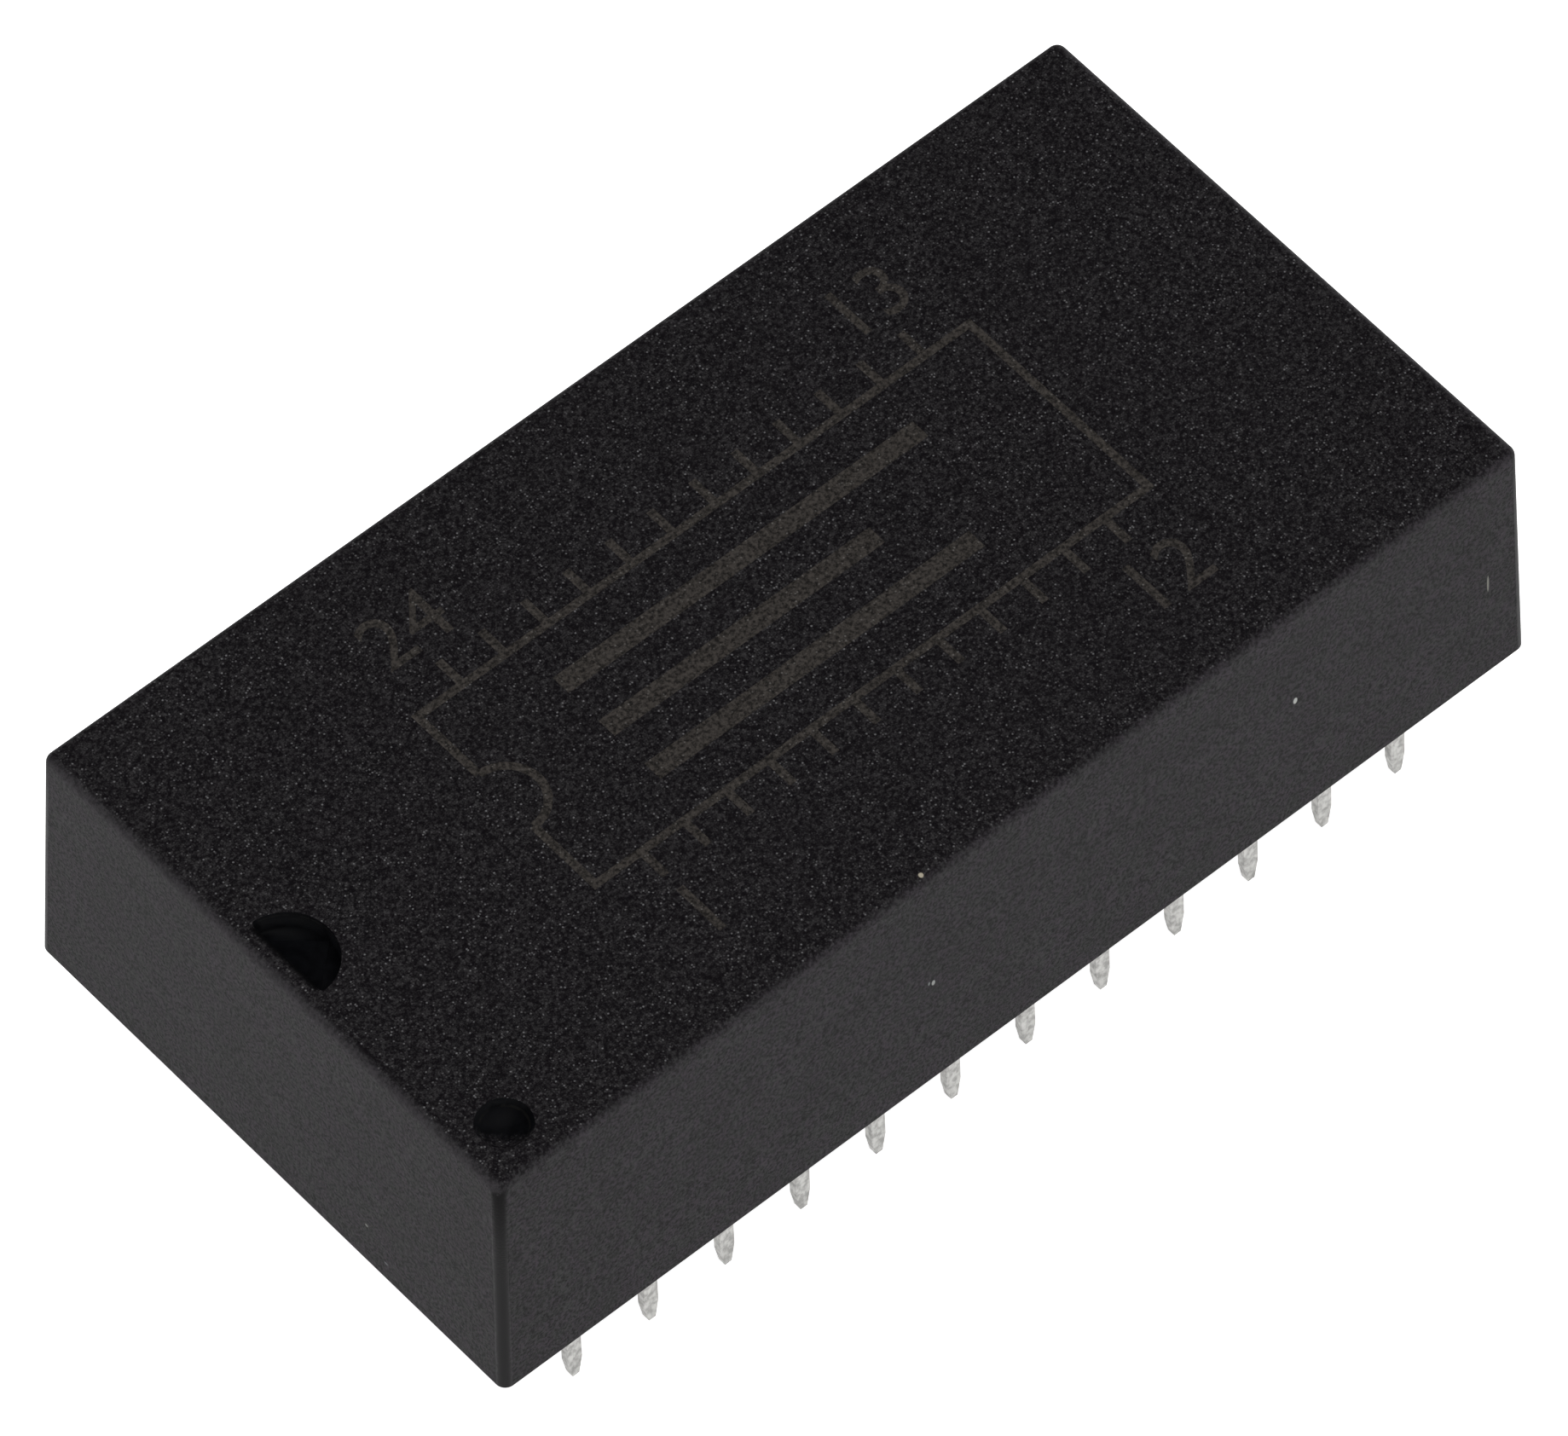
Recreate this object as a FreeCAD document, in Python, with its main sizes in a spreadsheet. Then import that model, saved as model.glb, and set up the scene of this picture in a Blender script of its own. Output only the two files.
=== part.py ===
import FreeCAD, Part
import Sketcher
import math
import os
import re

# Battery-backed clock memory in a 24-lead dual-in-line package.
#
# A moulded integrated circuit stands on its leads. A tall cap is turned over it, and holds a
# lithium cell and a quartz crystal above the circuit, all set in potting resin.
#
# X runs along the package, with lead 1 at the -X, -Y corner. Z is up, and Z = 0 is the surface
# that the lead tips stand on. Lengths are in millimetres and angles in degrees.

LEADS_PER_ROW = 12
END_FINGERS = 3
CUT_MARGIN = 1.0
QUARTER_TURN = 90
HALF_TURN = 180
FULL_TURN = 360
SMALL = 1e-6

# Driving sizes: name, value and meaning
SIZES = (
    ("lead_spacing", "2.54", "step from lead to lead along a row"),
    ("row_spacing", "15.24", "between the two rows, at the seating plane"),
    ("lead_length", "3.35", "seating plane to lead tip"),
    ("lead_width", "0.46", "width of a leg below the seating plane"),
    ("lead_thickness", "0.25", "thickness of the lead frame strip"),
    ("lead_splay", "2.0", "outward lean of each leg"),
    ("shoulder_width", "1.40", "width of a lead above the seating plane"),
    ("shoulder_slope", "0.35", "height over which the shoulder narrows to the leg"),
    ("tip_length", "0.65", "length of the tapered tip"),
    ("tip_width", "0.22", "width of the cut end of the tip"),
    ("bend_radius", "0.25", "inside radius where a lead turns down"),
    ("stand_off", "0.50", "seating plane to the rim of the cap"),
    ("lead_clearance", "0.40", "middle of a lead row to the cap's cavity, at the seating plane and rim"),
    ("contact_clearance", "0.40", "back of an upright contact to the cap's cavity, at the rim"),
    ("cell_headroom", "0.69", "upper tab of the cell to the cap's roof"),
    ("cap_draft", "1.85", "lean of the cap's walls, inside and out"),
    ("cap_wall", "1.00", "wall thickness"),
    ("cap_roof", "1.00", "thickness under the top face"),
    ("cap_edge_radius", "0.30", "upright outside corners, and the edges round the top face"),
    ("cavity_corner_radius", "0.40", "upright inside corners of the cap"),
    ("index_radius", "1.38", "half-moon index recess"),
    ("index_depth", "0.60", "depth of the index recess"),
    ("index_end_radius", "0.12", "upright corners at both ends of the index recess"),
    ("index_inset", "0.87", "end of the cap at its rim to the recess's straight wall"),
    ("dimple_radius", "0.76", "mouth of the lead 1 dimple"),
    ("dimple_depth", "0.36", "depth of the lead 1 dimple"),
    ("dimple_inset", "1.70", "both rim edges to the dimple's centre"),
    ("fill_recess", "0.40", "rim to the surface of the potting"),
    ("ic_recess", "0.10", "rim to the underside of the circuit body"),
    ("ic_end", "1.43", "middle of the end leads to the end of the circuit body, at its parting line"),
    ("ic_side", "0.77", "side of the circuit body, at its parting line, to the middle of a lead row"),
    ("ic_lower", "1.78", "underside to the lead frame"),
    ("ic_upper", "1.78", "lead frame to the top of the circuit body"),
    ("ic_draft", "7.0", "lean of the circuit body's walls"),
    ("ic_corner", "0.25", "bevel of the upright corners of the circuit body"),
    ("ejector_radius", "0.90", "ejector marks under the circuit body"),
    ("ejector_depth", "0.08", "depth of the ejector marks"),
    ("ejector_inset", "3.40", "end of the circuit body to the middle of an ejector mark"),
    ("root_depth", "0.90", "how far a lead runs full width into the circuit body"),
    ("finger_width", "0.34", "lead frame fingers inside the circuit body"),
    ("finger_straight", "0.75", "straight stretch of a finger beside its root"),
    ("finger_gather", "1.00", "straight stretch of a finger beside the paddle"),
    ("finger_gap", "0.40", "fingertip to paddle"),
    ("end_spacing", "0.60", "step between fingertips at the ends of the paddle"),
    ("side_spacing", "1.10", "step between fingertips along the sides of the paddle"),
    ("paddle_length", "7.00", "paddle that carries the die"),
    ("paddle_inset", "4.05", "side of the circuit body to the side of the paddle"),
    ("tie_width", "0.50", "tie bars that hold the paddle"),
    ("die_margin", "0.80", "paddle left bare round the silicon die"),
    ("die_thickness", "0.38", "silicon die"),
    ("contact_width", "1.00", "lead frame contacts at the ends"),
    ("contact_gap", "0.20", "end of the circuit body to the upright contact"),
    ("contact_rise", "1.40", "top of the circuit body to the top of a contact"),
    ("contact_radius", "0.15", "inside radius where a contact turns up"),
    ("contact_tip", "0.75", "middle of the paddle to a contact's fingertip"),
    ("crystal_contact_spacing", "2.54", "between the crystal's contacts"),
    ("cell_contact_spacing", "5.00", "between the cell's contacts"),
    ("cell_diameter", "12.50", "lithium cell"),
    ("cell_height", "2.50", "lithium cell"),
    ("cell_flange", "1.15", "side of the can to the smaller negative cap"),
    ("cell_step_height", "0.30", "height of the negative cap below the crimped can"),
    ("cell_crimp", "0.55", "bevel of the crimped lower edge of the can"),
    ("cell_gap", "0.20", "side of the can to the nearest tab"),
    ("tab_width", "1.60", "welded tabs"),
    ("tab_thickness", "0.15", "welded tabs"),
    ("tab_reach", "8.00", "length of a tab along the cell"),
    ("tab_lap", "0.90", "weld lap of a tab on its contact"),
    ("tab_radius", "0.10", "inside radius of a tab's bend"),
    ("crystal_diameter", "2.00", "tuning-fork crystal can"),
    ("crystal_length", "6.00", "tuning-fork crystal can"),
    ("crystal_bevel", "0.25", "closed end of the can"),
    ("crystal_wire_diameter", "0.22", "crystal wires"),
    ("crystal_wire_spacing", "0.80", "between the wires where they leave the can"),
    ("crystal_wire_reach", "3.10", "can to contacts"),
)

# Places that follow from the driving sizes
PLACES = {
    "rim_height": "lead_length + stand_off",
    "fill_height": "rim_height + fill_recess",
    "ic_underside": "rim_height + ic_recess",
    "frame_height": "ic_underside + ic_lower",
    "frame_top": "frame_height + lead_thickness",
    "ic_top": "frame_top + ic_upper",
    "row_length": "%d * lead_spacing" % (LEADS_PER_ROW - 1),
    "ic_length": "row_length + 2 * ic_end",
    "ic_width": "row_spacing - 2 * ic_side",
    "paddle_width": "ic_width - 2 * paddle_inset",
    "root_edge": "ic_width / 2 - root_depth",
    "contact_root": "ic_length / 2 - root_depth",
    "contact_face": "ic_length / 2 + contact_gap",
    "contact_back": "contact_face + lead_thickness",
    "contact_top": "ic_top + contact_rise",
    "cell_base": "ic_top + tab_thickness",
    "cell_top": "cell_base + cell_height",
    "cell_place": "contact_face - tab_thickness - cell_gap - cell_diameter / 2",
    "crystal_axis": "ic_top + crystal_diameter / 2",
    "crystal_base": "contact_face - crystal_wire_reach",
    "roof_height": "cell_top + tab_thickness + cell_headroom",
    "top_height": "roof_height + cap_roof",
    "cap_length": "2 * (contact_back + contact_clearance + cap_wall)",
    "cap_width": "row_spacing + 2 * (lead_clearance + cap_wall)",
}

document = FreeCAD.newDocument("clock_memory")
sheet = document.addObject("Spreadsheet::Sheet", "Sizes")
for row, (name, text, meaning) in enumerate(SIZES, start=1):
    sheet.set("A%d" % row, name)
    sheet.set("B%d" % row, text)
    sheet.set("C%d" % row, meaning)
    sheet.setAlias("B%d" % row, name)
document.recompute()
SIZE_NAMES = {name for name, text, meaning in SIZES}


def bound(text):
    """Spell out an expression, so that every size in it refers to its cell."""
    def replace(match):
        word = match.group()
        if word in SIZE_NAMES:
            return "Sizes." + word
        if word in PLACES:
            return "(" + bound(PLACES[word]) + ")"
        return word
    return re.sub(r"[a-z][a-z0-9_]*", replace, text)


def number(text):
    """Value of an expression."""
    return float(sheet.evalExpression(bound(text)))


def new_body(label):
    body = document.addObject("PartDesign::Body", label)
    body.Label = label
    return body


def new_sketch(body, name, role, height="0"):
    """Sketch on one of the body's origin planes, moved along the plane's normal by height."""
    sketch = body.newObject("Sketcher::SketchObject", name)
    plane = next(item for item in body.Origin.OriginFeatures if item.Role == role)
    sketch.AttachmentSupport = (plane, [""])
    sketch.MapMode = "FlatFace"
    sketch.setExpression("AttachmentOffset.Base.z", bound(height))
    return sketch


def hold(sketch, kind, *where, value):
    """Add a dimension and bind it to the expression value."""
    index = sketch.addConstraint(Sketcher.Constraint(kind, *where, number(value)))
    sketch.setExpression("Constraints[%d]" % index, bound(value))


def outline(sketch, corners):
    """Closed outline of straight edges. Each corner is a pair of expressions."""
    first = sketch.GeometryCount
    count = len(corners)
    points = [FreeCAD.Vector(number(across), number(up), 0) for across, up in corners]
    for index in range(count):
        sketch.addGeometry(Part.LineSegment(points[index], points[(index + 1) % count]))
    for index, (across, up) in enumerate(corners):
        after = first + (index + 1) % count
        sketch.addConstraint(Sketcher.Constraint("Coincident", first + index, 2, after, 1))
        hold(sketch, "DistanceX", -1, 1, first + index, 1, value=across)
        hold(sketch, "DistanceY", -1, 1, first + index, 1, value=up)


def rectangle(sketch, length, width):
    """Rectangle about the sketch's origin."""
    outline(sketch, [
        ("-(%s) / 2" % length, "-(%s) / 2" % width),
        ("(%s) / 2" % length, "-(%s) / 2" % width),
        ("(%s) / 2" % length, "(%s) / 2" % width),
        ("-(%s) / 2" % length, "(%s) / 2" % width),
    ])


def circle(sketch, across, up, radius):
    centre = FreeCAD.Vector(number(across), number(up), 0)
    ring = sketch.addGeometry(Part.Circle(centre, FreeCAD.Vector(0, 0, 1), number(radius)))
    hold(sketch, "DistanceX", -1, 1, ring, 3, value=across)
    hold(sketch, "DistanceY", -1, 1, ring, 3, value=up)
    hold(sketch, "Radius", ring, value=radius)


def side_points(points, half_width):
    """Points beside a route, half_width to its left, mitred at its corners."""
    normals = []
    for start, end in zip(points, points[1:]):
        step = (end - start).normalize()
        normals.append(FreeCAD.Vector(-step.y, step.x, 0))
    sides = [points[0] + normals[0] * half_width]
    for index in range(1, len(points) - 1):
        before, after = normals[index - 1], normals[index]
        reach = half_width / (1 + before.dot(after))
        sides.append(points[index] + (before + after) * reach)
    sides.append(points[-1] + normals[-1] * half_width)
    return sides


def centre_line(sketch, route):
    """Construction line of straight runs. Each point is a pair of expressions."""
    points = [FreeCAD.Vector(number(across), number(up), 0) for across, up in route]
    runs = len(points) - 1
    for start, end in zip(points, points[1:]):
        sketch.addGeometry(Part.LineSegment(start, end), True)
    for index in range(runs - 1):
        sketch.addConstraint(Sketcher.Constraint("Coincident", index, 2, index + 1, 1))
    for index, (across, up) in enumerate(route):
        line, end = (index, 1) if index < runs else (runs - 1, 2)
        hold(sketch, "DistanceX", -1, 1, line, end, value=across)
        hold(sketch, "DistanceY", -1, 1, line, end, value=up)
    return points


def ribbon(sketch, route, width):
    """Closed strip of one width about a route of straight runs, held to its centre line."""
    points = centre_line(sketch, route)
    runs = len(points) - 1
    half = number(width) / 2
    left = side_points(points, half)
    right = side_points(points, -half)
    border = left + right[::-1]
    first = sketch.GeometryCount
    for index in range(len(border)):
        after = border[(index + 1) % len(border)]
        sketch.addGeometry(Part.LineSegment(border[index], after))
    for index in range(len(border)):
        after = first + (index + 1) % len(border)
        sketch.addConstraint(Sketcher.Constraint("Coincident", first + index, 2, after, 1))
    for index in range(runs):
        for line in (first + index, first + 2 * runs - index):
            sketch.addConstraint(Sketcher.Constraint("Parallel", line, index))
            hold(sketch, "Distance", index, 1, line, value="(%s) / 2" % width)
    for line, run, end in ((first + runs, runs - 1, 2), (first + 2 * runs + 1, 0, 1)):
        sketch.addConstraint(Sketcher.Constraint("Perpendicular", line, run))
        sketch.addConstraint(Sketcher.Constraint("PointOnObject", run, end, line))


def pad(body, name, sketch, length, middle=False, downward=False):
    """Raise a sketch along its normal, to both sides of it, or against its normal when downward."""
    feature = body.newObject("PartDesign::Pad", name)
    feature.Profile = sketch
    feature.SideType = "Symmetric" if middle else "One side"
    feature.Reversed = downward
    feature.setExpression("Length", bound(length))
    document.recompute()
    return feature


def pocket(body, name, sketch, length, upward=False):
    """Cut a sketch into the body against its normal, or along it when upward."""
    volume = body.Shape.Volume
    feature = body.newObject("PartDesign::Pocket", name)
    feature.Profile = sketch
    feature.Reversed = upward
    feature.setExpression("Length", bound(length))
    document.recompute()
    if body.Shape.Volume > volume - SMALL:
        raise RuntimeError("%s in %s cuts nothing" % (name, body.Label))
    return feature


def pocket_through(body, name, sketch):
    """Cut a sketch right through the body, both ways."""
    volume = body.Shape.Volume
    feature = body.newObject("PartDesign::Pocket", name)
    feature.Profile = sketch
    feature.SideType = "Symmetric"
    feature.Type = "ThroughAll"
    document.recompute()
    if body.Shape.Volume > volume - SMALL:
        raise RuntimeError("%s in %s cuts nothing" % (name, body.Label))
    return feature


def turn(body, kind, name, sketch):
    """Revolve a sketch once about its own upright axis, to add or to remove material."""
    feature = body.newObject("PartDesign::" + kind, name)
    feature.Profile = sketch
    feature.ReferenceAxis = (sketch, ["V_Axis"])
    feature.Angle = FULL_TURN
    document.recompute()
    return feature


def level_plane(body, name, height):
    """Reference plane that lies level in a body."""
    plane = body.newObject("PartDesign::Plane", name)
    base = next(item for item in body.Origin.OriginFeatures if item.Role == "XY_Plane")
    plane.AttachmentSupport = (base, [""])
    plane.MapMode = "FlatFace"
    plane.setExpression("AttachmentOffset.Base.z", bound(height))
    document.recompute()
    return plane


def lean_walls(body, name, base, plane, angle, wanted, outward=False):
    """Give draft to the walls that the test wanted picks. They keep their size in the plane."""
    picked = []
    for index, face in enumerate(base.Shape.Faces, start=1):
        if wanted(face):
            picked.append("Face%d" % index)
    feature = body.newObject("PartDesign::Draft", name)
    feature.Base = (base, picked)
    feature.NeutralPlane = (plane, [""])
    feature.Reversed = outward
    feature.setExpression("Angle", bound(angle))
    document.recompute()
    return feature


def dress_edges(body, kind, name, base, size, wanted):
    """Fillet or chamfer the edges of a feature that the test wanted picks."""
    picked = []
    for index, edge in enumerate(base.Shape.Edges, start=1):
        if wanted(edge):
            picked.append("Edge%d" % index)
    feature = body.newObject("PartDesign::" + kind, name)
    feature.Base = (base, picked)
    feature.setExpression("Radius" if kind == "Fillet" else "Size", bound(size))
    document.recompute()
    return feature


def round_edges(body, name, base, radius, wanted):
    return dress_edges(body, "Fillet", name, base, radius, wanted)


def bevel_edges(body, name, base, size, wanted):
    return dress_edges(body, "Chamfer", name, base, size, wanted)


def upright(edge):
    """Whether an edge climbs, rather than lying level."""
    box = edge.BoundBox
    return box.ZLength > max(box.XLength, box.YLength)


def walls_between(low, high):
    """Test for the upright walls whose lower and upper edges lie at two heights."""
    def wanted(face):
        box = face.BoundBox
        return abs(box.ZMin - low) < SMALL and abs(box.ZMax - high) < SMALL
    return wanted


def level_at(height):
    """Test for the edges that lie level at a height."""
    def wanted(edge):
        return edge.BoundBox.ZLength < SMALL and abs(edge.BoundBox.ZMax - height) < SMALL
    return wanted


def crease_at(across, height, along):
    """Test for the straight edge that runs in direction along through a bend's corner."""
    def wanted(edge):
        middle = edge.BoundBox.Center
        place = middle.x if along == "y" else middle.y
        span = edge.BoundBox.YLength if along == "y" else edge.BoundBox.XLength
        level = edge.BoundBox.ZLength < SMALL
        return level and span > SMALL and abs(place - across) < SMALL and abs(middle.z - height) < SMALL
    return wanted


def make_cap():
    """Moulded cap: drafted shell, open below, with the index recess and the lead 1 dimple."""
    body = new_body("cap")
    rim = level_plane(body, "RimPlane", "rim_height")
    sketch = new_sketch(body, "CapOutline", "XY_Plane", "rim_height")
    rectangle(sketch, "cap_length", "cap_width")
    block = pad(body, "CapBlock", sketch, "top_height - rim_height")
    walls = walls_between(number("rim_height"), number("top_height"))
    block = lean_walls(body, "CapDraft", block, rim, "cap_draft", walls)
    at_top = level_at(number("top_height"))

    def outer_edge(edge):
        return upright(edge) or at_top(edge)

    round_edges(body, "CapEdges", block, "cap_edge_radius", outer_edge)

    sketch = new_sketch(body, "CavityOutline", "XY_Plane", "rim_height")
    rectangle(sketch, "cap_length - 2 * cap_wall", "cap_width - 2 * cap_wall")
    cavity = pocket(body, "Cavity", sketch, "roof_height - rim_height", upward=True)
    walls = walls_between(number("rim_height"), number("roof_height"))
    cavity = lean_walls(body, "CavityDraft", cavity, rim, "cap_draft", walls, outward=True)
    roof = number("roof_height")

    def cavity_corner(edge):
        return upright(edge) and abs(edge.BoundBox.ZMax - roof) < SMALL

    round_edges(body, "CavityCorners", cavity, "cavity_corner_radius", cavity_corner)

    sketch = new_sketch(body, "IndexOutline", "XY_Plane", "top_height")
    wall = "-(cap_length / 2 - index_inset)"
    centre = FreeCAD.Vector(number(wall), 0, 0)
    radius = number("index_radius")
    ring = Part.Circle(centre, FreeCAD.Vector(0, 0, 1), radius)
    quarter = math.radians(QUARTER_TURN)
    arc = sketch.addGeometry(Part.ArcOfCircle(ring, -quarter, quarter))
    reach = FreeCAD.Vector(0, radius, 0)
    chord = sketch.addGeometry(Part.LineSegment(centre + reach, centre - reach))
    sketch.addConstraint(Sketcher.Constraint("Coincident", arc, 2, chord, 1))
    sketch.addConstraint(Sketcher.Constraint("Coincident", chord, 2, arc, 1))
    sketch.addConstraint(Sketcher.Constraint("Vertical", chord))
    sketch.addConstraint(Sketcher.Constraint("PointOnObject", arc, 3, chord))
    sketch.addConstraint(Sketcher.Constraint("PointOnObject", arc, 3, -1))
    hold(sketch, "DistanceX", -1, 1, arc, 3, value=wall)
    hold(sketch, "Radius", arc, value="index_radius")
    recess = pocket(body, "IndexRecess", sketch, "index_depth")

    def recess_end(edge):
        return upright(edge) and abs(edge.BoundBox.XMax - centre.x) < SMALL

    round_edges(body, "IndexEnds", recess, "index_end_radius", recess_end)

    sketch = new_sketch(body, "DimpleOutline", "XZ_Plane", "cap_width / 2 - dimple_inset")
    sketch.setExpression("AttachmentOffset.Base.x", bound("-(cap_length / 2 - dimple_inset)"))
    sketch.setExpression("AttachmentOffset.Base.y", bound("top_height"))
    ball = "(dimple_radius * dimple_radius + dimple_depth * dimple_depth) / (2 * dimple_depth)"
    lift = "%s - dimple_depth" % ball
    centre = FreeCAD.Vector(0, number(lift), 0)
    ring = Part.Circle(centre, FreeCAD.Vector(0, 0, 1), number(ball))
    arc = sketch.addGeometry(Part.ArcOfCircle(ring, -quarter, quarter))
    reach = FreeCAD.Vector(0, number(ball), 0)
    chord = sketch.addGeometry(Part.LineSegment(centre + reach, centre - reach))
    sketch.addConstraint(Sketcher.Constraint("Coincident", arc, 2, chord, 1))
    sketch.addConstraint(Sketcher.Constraint("Coincident", chord, 2, arc, 1))
    sketch.addConstraint(Sketcher.Constraint("PointOnObject", chord, 1, -2))
    sketch.addConstraint(Sketcher.Constraint("PointOnObject", chord, 2, -2))
    sketch.addConstraint(Sketcher.Constraint("PointOnObject", arc, 3, -2))
    hold(sketch, "DistanceY", -1, 1, arc, 3, value=lift)
    hold(sketch, "Radius", arc, value=ball)
    turn(body, "Groove", "LeadOneDimple", sketch)
    return body


def make_fill():
    """Block of resin that fills the cap's cavity, before the pieces in it are taken out."""
    body = new_body("resin_block")
    sketch = new_sketch(body, "FillOutline", "XY_Plane", "fill_height")
    narrowing = "2 * (cap_wall + fill_recess * tan(cap_draft))"
    rectangle(sketch, "cap_length - %s" % narrowing, "cap_width - %s" % narrowing)
    block = pad(body, "Fill", sketch, "roof_height - fill_height")
    surface = level_plane(body, "FillPlane", "fill_height")
    walls = walls_between(number("fill_height"), number("roof_height"))
    block = lean_walls(body, "FillDraft", block, surface, "cap_draft", walls)
    round_edges(body, "FillCorners", block, "cavity_corner_radius", upright)
    return body


def make_moulding():
    """Moulded circuit body, drafted both ways from the lead frame, before its pieces are taken out."""
    body = new_body("moulding")
    parting = level_plane(body, "PartingPlane", "frame_height")
    heights = [number(name) for name in ("ic_underside", "frame_height", "ic_top")]
    sketch = new_sketch(body, "LowerOutline", "XY_Plane", "frame_height")
    rectangle(sketch, "ic_length", "ic_width")
    lower = pad(body, "LowerHalf", sketch, "ic_lower", downward=True)
    lean_walls(body, "LowerDraft", lower, parting, "ic_draft", walls_between(*heights[:2]), outward=True)
    sketch = new_sketch(body, "UpperOutline", "XY_Plane", "frame_height")
    rectangle(sketch, "ic_length", "ic_width")
    upper = pad(body, "UpperHalf", sketch, "lead_thickness + ic_upper")
    upper = lean_walls(body, "UpperDraft", upper, parting, "ic_draft", walls_between(*heights[1:]))
    bevel_edges(body, "MouldedCorners", upper, "ic_corner", upright)
    sketch = new_sketch(body, "EjectorOutline", "XY_Plane", "ic_underside")
    for side in ("-", ""):
        circle(sketch, side + "(ic_length / 2 - ejector_inset)", "0", "ejector_radius")
    pocket(body, "EjectorMarks", sketch, "ejector_depth", upward=True)
    return body


def finger_route(place):
    """Route of a lead's finger, from its root to its tip beside the paddle."""
    side = "-" if place <= LEADS_PER_ROW // 2 else ""
    order = min(place, LEADS_PER_ROW + 1 - place)
    across = "(%d - %s) * lead_spacing" % (place, (LEADS_PER_ROW + 1) / 2)
    root = "-(root_edge + finger_width / 2)"
    bend = "-(root_edge - finger_straight)"
    if order <= END_FINGERS:
        depth = "(contact_tip + %d * end_spacing)" % order
        drop = "(root_edge - finger_straight - %s)" % depth
        inward = "%s %s %s" % (across, "+" if side else "-", drop)
        tip = "%s(paddle_length / 2 + finger_gap)" % side
        return [(across, root), (across, bend), (inward, "-" + depth), (tip, "-" + depth)]
    share = LEADS_PER_ROW / 2 - order + 0.5
    column = "%s%s * side_spacing" % (side, share)
    tip = "paddle_width / 2 + finger_gap"
    return [(across, root), (across, bend), (column, "-(%s + finger_gather)" % tip), (column, "-(%s)" % tip)]


def make_lead(count):
    """One lead, from its fingertip beside the paddle, through its shoulder and bend, to its tip."""
    body = new_body("lead_%02d" % count)
    place = (count - 1) % LEADS_PER_ROW + 1
    across = "(%d - %s) * lead_spacing" % (place, (LEADS_PER_ROW + 1) / 2)
    face = "lead_thickness / 2 / cos(lead_splay)"
    outer = "-(row_spacing / 2 + %s + (lead_length - %%s) * tan(lead_splay))" % face
    inner = "-(row_spacing / 2 - %s + (lead_length - %%s) * tan(lead_splay))" % face

    sketch = new_sketch(body, "LeadProfile", "YZ_Plane", across)
    outline(sketch, [
        ("-root_edge", "frame_height"),
        ("-root_edge", "frame_top"),
        (outer % "frame_top", "frame_top"),
        (outer % "0", "0"),
        (inner % "0", "0"),
        (inner % "frame_height", "frame_height"),
    ])
    strip = pad(body, "LeadStrip", sketch, "shoulder_width", middle=True)
    inside = crease_at(number(inner % "frame_height"), number("frame_height"), "x")
    bend = round_edges(body, "InsideBend", strip, "bend_radius", inside)
    outside = crease_at(number(outer % "frame_top"), number("frame_top"), "x")
    round_edges(body, "OutsideBend", bend, "bend_radius + lead_thickness", outside)

    sketch = new_sketch(body, "LegTrim", "XZ_Plane")
    for side in ("-", "+"):
        edge = "%s %s (%%s)" % (across, side)
        outline(sketch, [
            (edge % "tip_width / 2", "0"),
            (edge % "lead_width / 2", "tip_length"),
            (edge % "lead_width / 2", "lead_length"),
            (edge % "shoulder_width / 2", "lead_length + shoulder_slope"),
            (edge % ("shoulder_width / 2 + %s" % CUT_MARGIN), "lead_length + shoulder_slope"),
            (edge % ("shoulder_width / 2 + %s" % CUT_MARGIN), "-%s" % CUT_MARGIN),
            (edge % "tip_width / 2", "-%s" % CUT_MARGIN),
        ])
    pocket_through(body, "Leg", sketch)

    sketch = new_sketch(body, "FingerOutline", "XY_Plane", "frame_height")
    ribbon(sketch, finger_route(place), "finger_width")
    pad(body, "Finger", sketch, "lead_thickness")
    if count > LEADS_PER_ROW:
        body.Placement = FreeCAD.Placement(FreeCAD.Vector(), FreeCAD.Rotation(HALF_TURN, 0, 0))
    return body


def make_contact(label, spacing, side, turned):
    """Lead frame strip that leaves the circuit body's end, turns up and takes a welded piece."""
    body = new_body(label)
    beside = "%s%s / 2" % (side, spacing)
    sketch = new_sketch(body, "ContactProfile", "XZ_Plane", "-(%s)" % beside)
    outline(sketch, [
        ("-contact_root", "frame_height"),
        ("-contact_back", "frame_height"),
        ("-contact_back", "contact_top"),
        ("-contact_face", "contact_top"),
        ("-contact_face", "frame_top"),
        ("-contact_root", "frame_top"),
    ])
    strip = pad(body, "ContactStrip", sketch, "contact_width", middle=True)
    inside = crease_at(-number("contact_face"), number("frame_top"), "y")
    bend = round_edges(body, "InsideBend", strip, "contact_radius", inside)
    outside = crease_at(-number("contact_back"), number("frame_height"), "y")
    round_edges(body, "OutsideBend", bend, "contact_radius + lead_thickness", outside)

    sketch = new_sketch(body, "FingerOutline", "XY_Plane", "frame_height")
    bend_place = "contact_root - finger_straight"
    depth = "%scontact_tip" % side
    ribbon(sketch, [
        ("-(contact_root + finger_width / 2)", beside),
        ("-(%s)" % bend_place, beside),
        ("-(%s - (%s / 2 - contact_tip))" % (bend_place, spacing), depth),
        ("-(paddle_length / 2 + finger_gap)", depth),
    ], "finger_width")
    pad(body, "Finger", sketch, "lead_thickness")
    if turned:
        body.Placement = FreeCAD.Placement(FreeCAD.Vector(), FreeCAD.Rotation(HALF_TURN, 0, 0))
    return body


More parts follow.
